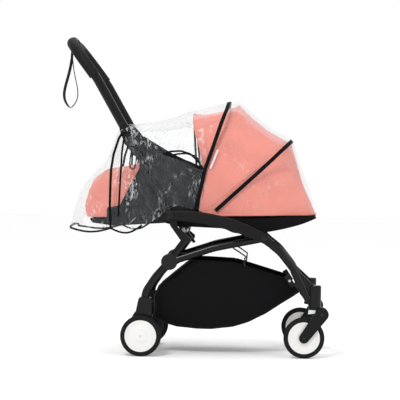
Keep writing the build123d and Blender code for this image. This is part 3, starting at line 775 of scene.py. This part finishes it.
# ------------------------------------------------------------------ rain cover
# x, crown z, hem z, half width, height of the rounded shoulder, in millimetres
COVER_STATIONS = [
    (-411, 424, 416, 112, 7), (-395, 500, 417, 142, 40), (-372, 556, 418, 165, 60), (-338, 600, 418, 185, 70),
    (-290, 650, 418, 202, 60), (-246, 746, 419, 205.5, 20), (-188, 764, 424, 206, 20),
    (-124, 774, 446, 206, 34), (-62, 792, 492, 204, 70), (0, 814, 484, 176, 110), (60, 830, 480, 170.5, 120),
    (110, 842, 476, 170.5, 120), (150, 841, 472, 170.5, 120), (200, 800, 470, 170.5, 110),
    (262, 752, 472, 170.5, 100), (330, 709, 476, 170.5, 90), (352, 648, 478, 170, 70),
    (378, 574, 480, 169.5, 40), (404, 500, 481, 169, 8)]
COVER_SQUARE = 0.83
COVER_ENDS = (COVER_STATIONS[0][0], COVER_STATIONS[-1][0])
# stretches of hem between two stitched points, and how far each hangs down
HEM_SWAGS = [(-0.411, -0.267, 0.013), (-0.267, -0.165, 0.017)]
VENT = [(-0.098, 0.664), (-0.085, 0.669), (-0.071, 0.672), (-0.041, 0.674), (-0.011, 0.665), (0.012, 0.645),
        (0.032, 0.616), (-0.030, 0.643), (-0.0945, 0.6635)]


def cover_section(x):
    """Crown, half width, shoulder height, height of the upright side and the shoulder's share of w at x."""
    top, hem, half, shoulder = (value * MM for value in between(COVER_STATIONS, x / MM))
    side = max(top - shoulder - hem, 0.0)
    share = 0.55 * (half + shoulder) / (0.55 * (half + shoulder) + side)
    return top, half, shoulder, side, max(share, 0.35)


def cover_point(x, w, wrinkled=True):
    """A point of the cover at x, with w from -1 at one hem over 0 at the crown to 1 at the other hem."""
    cover = bpy.context.scene.pushchair_cover
    top, half, shoulder, side, share = cover_section(x)
    if abs(w) <= share:
        angle = abs(w) / share * math.pi / 2
        y = half * math.sin(angle) ** COVER_SQUARE
        z = top - shoulder + shoulder * max(math.cos(angle), 0.0) ** COVER_SQUARE
        normal = Vector((0, math.sin(angle) ** 1.2, math.cos(angle) ** 0.8 + 1e-6))
    else:
        y = half
        z = top - shoulder - side * (abs(w) - share) / (1 - share)
        normal = Vector((0, 1, 0))
    sign = -1 if w < 0 else 1
    for start, end, sag in HEM_SWAGS:
        if start < x < end:
            z -= sag * math.sin(math.pi * (x - start) / (end - start)) * abs(w) ** 10
    normal = Vector((0, sign * normal.y, normal.z)).normalized()
    point = Vector((x, sign * y, z))
    lift = 0.0
    if wrinkled:
        free = 1.0 if x < 0.0 else 0.35
        flutter = noise.noise(point * 13 + Vector((0, sign * 4, 0)))
        fine = abs(noise.noise(Vector((point.x * 34, point.y * 20, point.z * 12)) + Vector((5, sign * 7, 2))))
        lift = cover.wrinkle * free * (0.9 * flutter + 0.9 * (0.35 - fine)) + 0.0012
        lift = max(lift, 0.0) if x > 0.0 else lift
    return point + normal * lift


def cover_share(x, z):
    """How far down the cover's side the height z lies at x, as w."""
    top, _, shoulder, side, share = cover_section(x)
    above = z - (top - shoulder)
    if above > 0:
        return share * math.acos(min(above / shoulder, 1.0) ** (1 / COVER_SQUARE)) / (math.pi / 2)
    return min(share + (1 - share) * -above / side, 1.0)


def side_line(line, side, count, lift):
    """Points and normals along a side-view line put straight onto one side of the cover."""
    points, normals = [], []
    for i in range(count + 1):
        x, z = on_line(line, i / count)
        w = side * cover_share(x, z)
        normal = cover_normal(x, w)
        points.append(cover_point(x, w) + normal * lift)
        normals.append(normal)
    return points, normals


def cover_normal(x, w):
    step = 0.004
    along = (cover_point(min(x + step, 0.403), w, wrinkled=False)
             - cover_point(max(x - step, -0.410), w, wrinkled=False))
    over = cover_point(x, w + 0.01, wrinkled=False) - cover_point(x, w - 0.01, wrinkled=False)
    normal = along.cross(over).normalized()
    centre = Vector((x, 0, 0.5))
    return normal if normal.dot(cover_point(x, w, wrinkled=False) - centre) > 0 else -normal


def seam_line(line, w_from, w_to, count, lift):
    """Points and normals where the cover meets a side-view line, from one w to another."""
    points, normals = [], []
    table = sorted((z, x) for x, z in line)
    for i in range(count + 1):
        w = w_from + (w_to - w_from) * i / count
        low, high = COVER_ENDS[0] * MM, COVER_ENDS[1] * MM

        def off(x):
            z = cover_point(x, w, wrinkled=False).z
            z = min(max(z, table[0][0]), table[-1][0])
            k = max(j for j in range(len(table) - 1) if table[j][0] <= z)
            (z0, x0), (z1, x1) = table[k], table[k + 1]
            return x - (x0 + (x1 - x0) * (z - z0) / (z1 - z0))
        for _ in range(40):
            middle = (low + high) / 2
            if off(middle) > 0:
                high = middle
            else:
                low = middle
        x = (low + high) / 2
        normal = cover_normal(x, w)
        points.append(cover_point(x, w) + normal * lift)
        normals.append(normal)
    return points, normals


FOOT_SEAM = [(-0.230, 0.735), (-0.244, 0.712), (-0.260, 0.662), (-0.268, 0.612), (-0.270, 0.557),
             (-0.271, 0.494), (-0.267, 0.412)]
SLOT_SEAM = [(-0.224, 0.735), (-0.233, 0.668), (-0.236, 0.601), (-0.239, 0.540), (-0.242, 0.462)]
BOW_TAPE = [(0.116, 0.850), (0.108, 0.815), (0.088, 0.760), (0.065, 0.692), (0.039, 0.617), (0.024, 0.545),
            (0.006, 0.470)]
REAR_TAPE = [(0.325, 0.712), (0.212, 0.605), (0.142, 0.541), (0.056, 0.462)]
ZIP_LINE = [(0.080, 0.680), (0.056, 0.618)]


class PUSHCHAIR_OT_rain_cover(bpy.types.Operator):
    """Rain cover: wrinkled clear film with piping, bow tapes, vents and handle slots"""
    bl_idname = "pushchair.rain_cover"
    bl_label = "Rain cover"

    def execute(self, context):
        cover = context.scene.pushchair_cover
        film = self.film(cover)
        trims = self.trims(cover)
        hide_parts("rain_cover")
        return {"FINISHED"}

    def film(self, cover):
        x_low, x_high = (x * MM for x in COVER_ENDS)
        film = cloth_grid(180, 150, lambda u, w: cover_point(x_low + (x_high - x_low) * u, 2 * w - 1))
        thicken(film, cover.film)
        cutters = []
        axis = Vector((HANDLE_BEND[0] - KNUCKLE[0], 0, HANDLE_BEND[1] - KNUCKLE[1]))
        for side in (1, -1):
            middle = Vector((KNUCKLE[0], side * HANDLE_PLANE, KNUCKLE[1])) + axis * 0.42
            bpy.ops.mesh.primitive_cylinder_add(radius=0.0235, depth=0.17, vertices=40, location=middle,
                                                rotation=axis.to_track_quat("Z", "Y").to_euler())
            cutters.append(bpy.context.object)
        sheet = bpy.data.meshes.new("vent")
        count = len(VENT)
        corners = [(x, y, z) for y in (-0.3, 0.3) for x, z in VENT]
        walls = [(k, (k + 1) % count, (k + 1) % count + count, k + count) for k in range(count)]
        ends = [tuple(range(count)), tuple(range(2 * count - 1, count - 1, -1))]
        sheet.from_pydata(corners, [], [*ends, *walls])
        vent = bpy.data.objects.new("vent", sheet)
        bpy.context.scene.collection.objects.link(vent)
        outward(vent)
        cutters.append(vent)
        for cutter in cutters:
            apply_modifier(film, "BOOLEAN", operation="DIFFERENCE", solver="EXACT", object=cutter)
            bpy.data.objects.remove(cutter)
        return dress(film, "rain_cover_film", "seat_frame", "clear_pvc")

    def trims(self, cover):
        parts = []
        for side in (1, -1):
            points, _ = side_line(FOOT_SEAM, side, 60, 0.0012)
            parts.append(rope(points, cover.piping * 1.25))
            points, _ = side_line(SLOT_SEAM, side, 50, 0.0012)
            parts.append(rope(points, cover.piping))
            closed_vent = VENT + VENT[:1]
            rim, _ = side_line(closed_vent, side, 90, 0.0008)
            parts.append(rope(rim[:-1], cover.piping, closed=True))
            low, high = COVER_ENDS[0] * MM, HEM_SWAGS[-1][1]
            hem = [cover_point(low + (high - low) * k / 110, side * 0.999) for k in range(111)]
            parts.append(rope(hem, cover.piping))
        for line in (BOW_TAPE, REAR_TAPE):
            points, normals = seam_line(line, -1.0, 1.0, 150, 0.0016)
            parts.append(ribbon(points, normals, cover.tape, 0.0016))
        foot = COVER_ENDS[0] * MM
        parts.append(rope([cover_point(foot, k / 40 - 1) for k in range(81)], cover.piping))
        strips = []
        for side in (1, -1):
            points, normals = side_line(ZIP_LINE, side, 20, 0.0016)
            strips.append(ribbon(points, normals, 0.0055, 0.0014))
        dress(join(strips), "rain_cover_zips", "seat_frame", "tab_grey")
        return dress(join(parts), "rain_cover_piping", "seat_frame", "black_fabric")


# ------------------------------------------------------------------ basket
BASKET_PIVOT = (0.140, 0.3065)
ELASTIC = [(0.134, 0.1570, 0.356), (0.156, 0.1545, 0.3425), (0.1795, 0.1510, 0.326), (0.178, 0.1495, 0.3125),
           (0.169, 0.1490, 0.307), (0.175, 0.1490, 0.297)]
CLIP_TOP = (0.310, 0.268)
CLIP_LOW = (0.334, 0.232)
TAB_PLANE = 0.1492
BASKET_LINE = [(-0.010, 0.314), (-0.114, 0.228), (-0.130, 0.191), (-0.128, 0.117), (-0.082, 0.1000),
               (-0.053, 0.091), (0.011, 0.084), (0.064, 0.083), (0.132, 0.0915), (0.190, 0.110),
               (0.243, 0.137), (0.292, 0.169), (0.330, 0.193), (0.358, 0.212), (0.322, 0.252)]


def basket_point(u, w):
    edge = on_line(BASKET_LINE, u)
    direction, reach = polar(BASKET_PIVOT, edge)
    over = 2 * w - 1
    point = fan_point(BASKET_PIVOT, 0.001, direction, reach, 0.1445, over, 12.0)
    drop = max(BASKET_PIVOT[1] - point.z, 0.0)
    belly = 0.004 * math.sin(math.pi * min(drop / 0.2, 1.0)) * abs(over) ** 3
    rumple = 0.0018 * noise.noise(Vector((point.x * 11, point.y * 9, point.z * 15)))
    point.y += math.copysign(belly + rumple, point.y) if abs(over) > 0.5 else 0.0
    if abs(over) <= 0.5:
        point.z += rumple - 0.003 * math.cos(math.pi * over)
    return point


class PUSHCHAIR_OT_basket(bpy.types.Operator):
    """Basket: sagging fabric tub with a bound rim, hanging under the seat"""
    bl_idname = "pushchair.basket"
    bl_label = "Basket"

    def execute(self, context):
        basket = cloth_grid(110, 90, basket_point)
        thicken(basket, context.scene.pushchair_fabric.cloth)
        dress(basket, "basket_fabric", "seat_frame", "black_fabric")
        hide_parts("basket")
        trims = []
        for u in (0.0, 1.0):
            trims.append(rope([basket_point(u, w / 60) for w in range(61)], 0.003))
        for w in (0.004, 0.996):
            trims.append(rope([basket_point(u / 90, w) for u in range(91)], 0.0026))
        binding = dress(join(trims), "basket_binding", "seat_frame", "black_fabric")
        for piece in (basket, binding, self.elastics(), self.clips()):
            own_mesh(piece)
        return {"FINISHED"}

    def elastics(self):
        line = [Vector((x, y, z)) for x, y, z in ELASTIC]
        elastics = dress(twin(rope(line, 0.0026)), "basket_elastic_cords", "seat_frame", "strap_webbing")
        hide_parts("basket_elastics")
        return elastics

    def clips(self):
        """Webbing tabs that hold the basket's front corners, each with a rivet."""
        def place(u, w):
            x = CLIP_TOP[0] + (CLIP_LOW[0] - CLIP_TOP[0]) * w + 0.014 * (u - 0.5)
            return Vector((x, TAB_PLANE, CLIP_TOP[1] + (CLIP_LOW[1] - CLIP_TOP[1]) * w + 0.010 * (u - 0.5)))
        tab = cloth_grid(4, 12, place)
        thicken(tab, 0.0018)
        dress(twin(tab), "basket_front_tabs", "seat_frame", "strap_webbing")
        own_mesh(tab)
        rivet = screw((CLIP_TOP[0] + CLIP_LOW[0]) / 2, (CLIP_TOP[1] + CLIP_LOW[1]) / 2, 0.1500, 0.0042)
        return dress(twin(rivet), "basket_rivets", "seat_frame", "steel", smooth=35)


# ------------------------------------------------------------------ straps and small trim
STRAP_TOP = (-0.4170, 1.016)
STRAP_DROP = 0.1965
STRAP_WIDTH = 0.012
LOOP_PLANE = 0.1665
GRIP_CENTRE = (-0.413, 1.0345)
KNUCKLE_LOOP = [(-0.204, 0.680), (-0.208, 0.655), (-0.2105, 0.632), (-0.209, 0.619), (-0.203, 0.613),
                (-0.196, 0.615), (-0.192, 0.626), (-0.189, 0.648), (-0.187, 0.673)]


def strap_centre(share):
    """Side view of the hanging loop, once round from the grip down and back up."""
    depth = (1 - math.cos(2 * math.pi * share)) / 2
    spread = 0.0215 * math.sin(math.pi * min(depth, 1.0) ** 2.6) ** 0.8 + 0.0020 * depth
    side = -1 if share < 0.5 else 1
    return STRAP_TOP[0] - 0.005 * depth + side * max(spread, 0.0012), STRAP_TOP[1] - STRAP_DROP * depth


class PUSHCHAIR_OT_straps(bpy.types.Operator):
    """Straps: wrist loop on the grip and small loops under the knuckles"""
    bl_idname = "pushchair.straps"
    bl_label = "Straps"

    def execute(self, context):
        count = 120

        def loop(u, w):
            x, z = strap_centre(w)
            twist = math.radians(38) * max(math.sin(math.pi * min(w / 0.5, 1.0)), 0.0) ** 0.6
            across = (u - 0.5) * STRAP_WIDTH
            return Vector((x + across * math.sin(twist), STRAP_Y + across * math.cos(twist), z))
        band = cloth_grid(4, count, loop)
        thicken(band, 0.0020)
        deselect()
        bpy.ops.mesh.primitive_cylinder_add(radius=0.0205, depth=0.012, vertices=48, end_fill_type="NOTHING",
                                            location=(GRIP_CENTRE[0], STRAP_Y, GRIP_CENTRE[1]),
                                            rotation=(math.radians(90), 0, 0))
        ring = bpy.context.object
        settle(ring)
        thicken(ring, 0.0020)
        deselect()
        bpy.ops.mesh.primitive_cube_add(size=1, location=(STRAP_TOP[0], STRAP_Y, STRAP_TOP[1] - 0.010))
        keeper = bpy.context.object
        keeper.scale = (0.0075, 0.0135, 0.018)
        settle(keeper)
        apply_modifier(keeper, "BEVEL", width=0.0022, segments=3)
        strap = join([band, ring, keeper])
        dress(strap, "wrist_loop", "handle_up", "strap_webbing")
        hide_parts("wrist_strap")
        self.knuckle_loops()
        return {"FINISHED"}

    def knuckle_loops(self):
        line = [Vector((x, LOOP_PLANE, z)) for x, z in KNUCKLE_LOOP]
        loops = twin(rope(line, 0.0027))
        dress(loops, "panel_loops", "seat_frame", "strap_webbing")


def screw(x, z, outer, radius):
    """Low round screw head with a hex recess, on a left-hand face at y = outer."""
    deselect()
    bpy.ops.mesh.primitive_cylinder_add(radius=radius, depth=0.0022, vertices=30,
                                        location=(x, outer + 0.0010, z), rotation=(math.radians(90), 0, 0))
    head = bpy.context.object
    settle(head)
    apply_modifier(head, "BEVEL", width=0.0006, segments=2, limit_method="ANGLE",
                   angle_limit=math.radians(50))
    bpy.ops.mesh.primitive_cylinder_add(radius=radius * 0.45, depth=0.004, vertices=6,
                                        location=(x, outer + 0.0030, z), rotation=(math.radians(90), 0, 0))
    socket = bpy.context.object
    settle(socket)
    apply_modifier(head, "BOOLEAN", operation="DIFFERENCE", solver="EXACT", object=socket)
    bpy.data.objects.remove(socket)
    return head


class PUSHCHAIR_OT_screws(bpy.types.Operator):
    """Screw heads at the visible pivots"""
    bl_idname = "pushchair.screws"
    bl_label = "Screw heads"

    def execute(self, context):
        frame_screws = join([screw(*HANDLE_PIVOT, ARMREST_OUT, 0.0092),
                             screw(*LEG_PIVOT, ARMREST_OUT, 0.0092)])
        dress(twin(frame_screws), "pivot_screws", "seat_frame", "steel", "cap_plastic", smooth=35)
        for side in ("left", "right"):
            heads = join([screw(*ARM_PIVOT, CHEEK_OUT, 0.0070), screw(*FRONT_WHEEL, CHEEK_OUT, 0.0062)])
            if side == "right":
                heads.data.transform(Matrix.Scale(-1, 4, Vector((0, 1, 0))))
                outward(heads)
            dress(heads, "arm_screws_" + side, "arm_" + side, "steel", "cap_plastic", smooth=35)
        return {"FINISHED"}


# ------------------------------------------------------------------ stage
CAMERA_PLACE = (0.20354, -5.06108, 0.57146)
CAMERA_YAW, CAMERA_PITCH, CAMERA_ROLL = 0.036887, 0.011781, 0.011666


class PUSHCHAIR_OT_stage(bpy.types.Operator):
    """Camera, pale floor and soft studio light"""
    bl_idname = "pushchair.stage"
    bl_label = "Stage"

    def execute(self, context):
        stage = context.scene.pushchair_stage
        forward = Vector((-math.sin(CAMERA_YAW) * math.cos(CAMERA_PITCH),
                          math.cos(CAMERA_YAW) * math.cos(CAMERA_PITCH), -math.sin(CAMERA_PITCH)))
        right = Vector((math.cos(CAMERA_YAW), math.sin(CAMERA_YAW), 0))
        up = right.cross(forward)
        tilted = right * math.cos(CAMERA_ROLL) + up * math.sin(CAMERA_ROLL)
        top = up * math.cos(CAMERA_ROLL) - right * math.sin(CAMERA_ROLL)
        bpy.ops.object.camera_add(location=CAMERA_PLACE)
        camera = bpy.context.object
        camera.rotation_euler = Matrix((tilted, top, -forward)).transposed().to_euler()
        camera.data.lens = stage.lens
        camera.data.sensor_width = 36
        context.scene.camera = camera
        deselect()
        bpy.ops.mesh.primitive_plane_add(size=40, location=(0, 0, 0))
        floor = bpy.context.object
        floor.name = "floor"
        material, nodes, links, shader = new_material("studio_floor")
        tint(nodes, links, shader, (0.985, 0.985, 0.985), 0.005, 2)
        shader.inputs["Roughness"].default_value = 0.7
        floor.data.materials.append(material)
        self.light("key", (-0.9, -2.6, 2.6), (0.0, 0.0, 0.5), 0.6, stage.key_light)
        self.light("fill", (2.8, -2.4, 1.6), (0.1, 0.0, 0.5), 1.0, stage.key_light * 0.4)
        self.light("top", (0.0, 0.6, 3.8), (0.0, 0.0, 0.4), 3.0, stage.key_light * 0.7)
        world = bpy.data.worlds.new("studio")
        world.use_nodes = True
        world.node_tree.nodes["Background"].inputs["Color"].default_value = (1, 1, 1, 1)
        world.node_tree.nodes["Background"].inputs["Strength"].default_value = 1.0
        context.scene.world = world
        context.scene.view_settings.view_transform = "Standard"
        return {"FINISHED"}

    def light(self, name, place, aim, size, power):
        bpy.ops.object.light_add(type="AREA", location=place)
        lamp = bpy.context.object
        lamp.name = name
        lamp.data.size = size
        lamp.data.energy = power
        lamp.rotation_euler = (Vector(aim) - Vector(place)).to_track_quat("-Z", "Y").to_euler()


# ------------------------------------------------------------------ panel and registration
OPERATORS = (PUSHCHAIR_OT_finishes, PUSHCHAIR_OT_canopy, PUSHCHAIR_OT_nest, PUSHCHAIR_OT_rain_cover,
             PUSHCHAIR_OT_basket, PUSHCHAIR_OT_straps, PUSHCHAIR_OT_screws, PUSHCHAIR_OT_stage)
SETTINGS = {"pushchair_fabric": FabricSettings, "pushchair_cover": CoverSettings,
            "pushchair_stage": StageSettings}


class PUSHCHAIR_PT_panel(bpy.types.Panel):
    """Lists the settings and the pieces"""
    bl_idname = "PUSHCHAIR_PT_panel"
    bl_label = "Pushchair"
    bl_space_type = "VIEW_3D"
    bl_region_type = "UI"
    bl_category = "Pushchair"

    def draw(self, context):
        for name, group in SETTINGS.items():
            for key in group.__annotations__:
                self.layout.prop(getattr(context.scene, name), key)
        for operator in OPERATORS:
            self.layout.operator(operator.bl_idname)


CLASSES = (*SETTINGS.values(), *OPERATORS, PUSHCHAIR_PT_panel)


def register():
    for cls in CLASSES:
        bpy.utils.register_class(cls)
    for name, group in SETTINGS.items():
        setattr(bpy.types.Scene, name, PointerProperty(type=group))


def unregister():
    for name in SETTINGS:
        delattr(bpy.types.Scene, name)
    for cls in reversed(CLASSES):
        bpy.utils.unregister_class(cls)


def main():
    register()
    bpy.ops.pushchair.finishes()
    bpy.ops.pushchair.canopy()
    bpy.ops.pushchair.nest()
    bpy.ops.pushchair.rain_cover()
    bpy.ops.pushchair.basket()
    bpy.ops.pushchair.straps()
    bpy.ops.pushchair.screws()
    bpy.ops.pushchair.stage()


if __name__ == "__main__":
    main()
